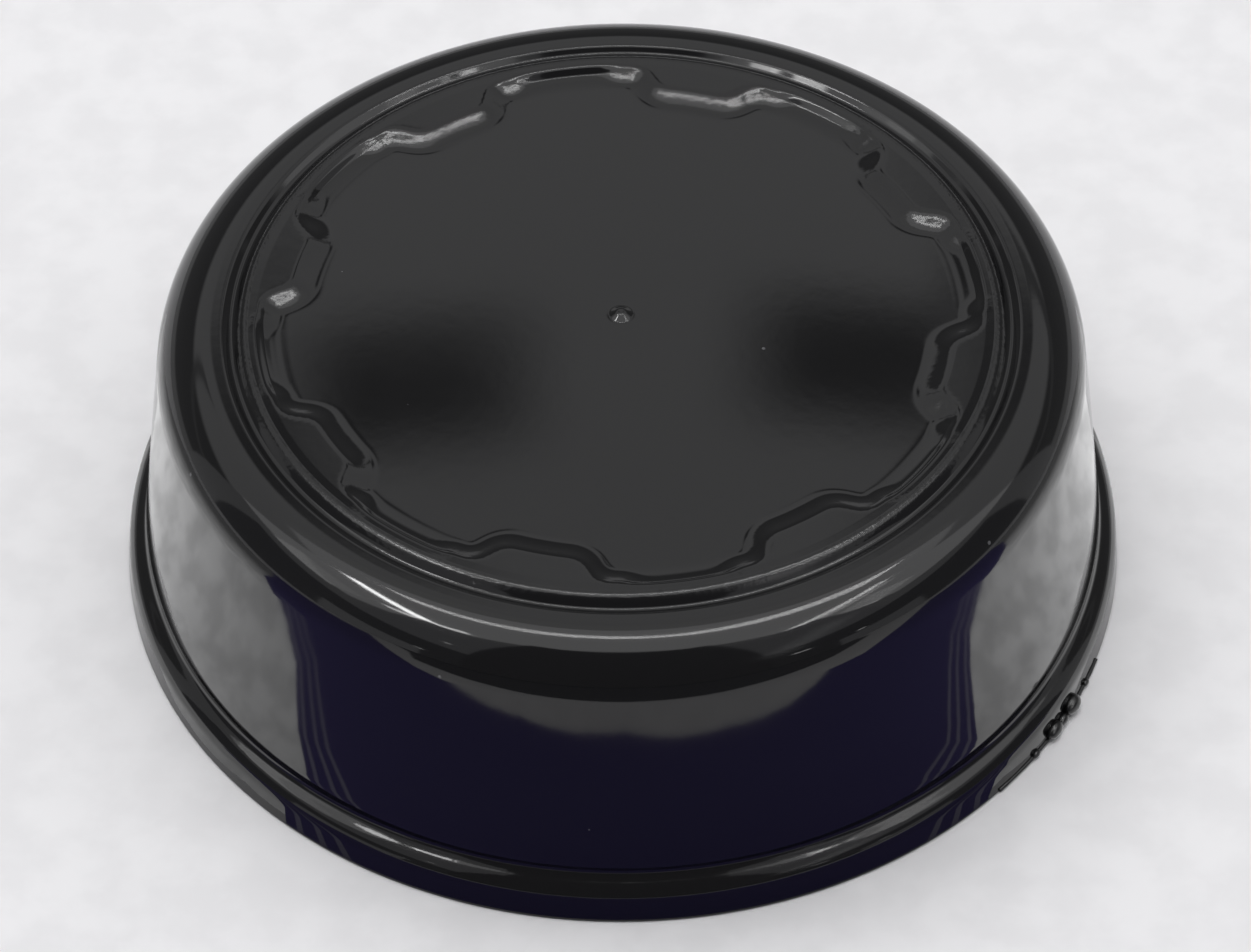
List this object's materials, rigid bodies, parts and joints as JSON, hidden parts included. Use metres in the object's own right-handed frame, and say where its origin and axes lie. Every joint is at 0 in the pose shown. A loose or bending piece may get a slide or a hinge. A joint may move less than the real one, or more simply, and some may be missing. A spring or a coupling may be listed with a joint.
{
  "type": "wheel centre cap",
  "caption": "Pressed steel cap that closes the centre hole of a wheel: flanged rim, tapered wall, round shoulder and a ringed face with embossed tabs.",
  "frame": {"origin": "centre of the open rim, in the plane the cap stands on", "axes": "+Z out through the face, along the wheel's axle; +X to the right as seen in the picture"},
  "size_m": [0.1128, 0.1128, 0.036],
  "materials": {
    "enamel_black": "gloss"
  },
  "bodies": {
    "root": {"cap_shell": "enamel_black"}
  },
  "joints": []
}
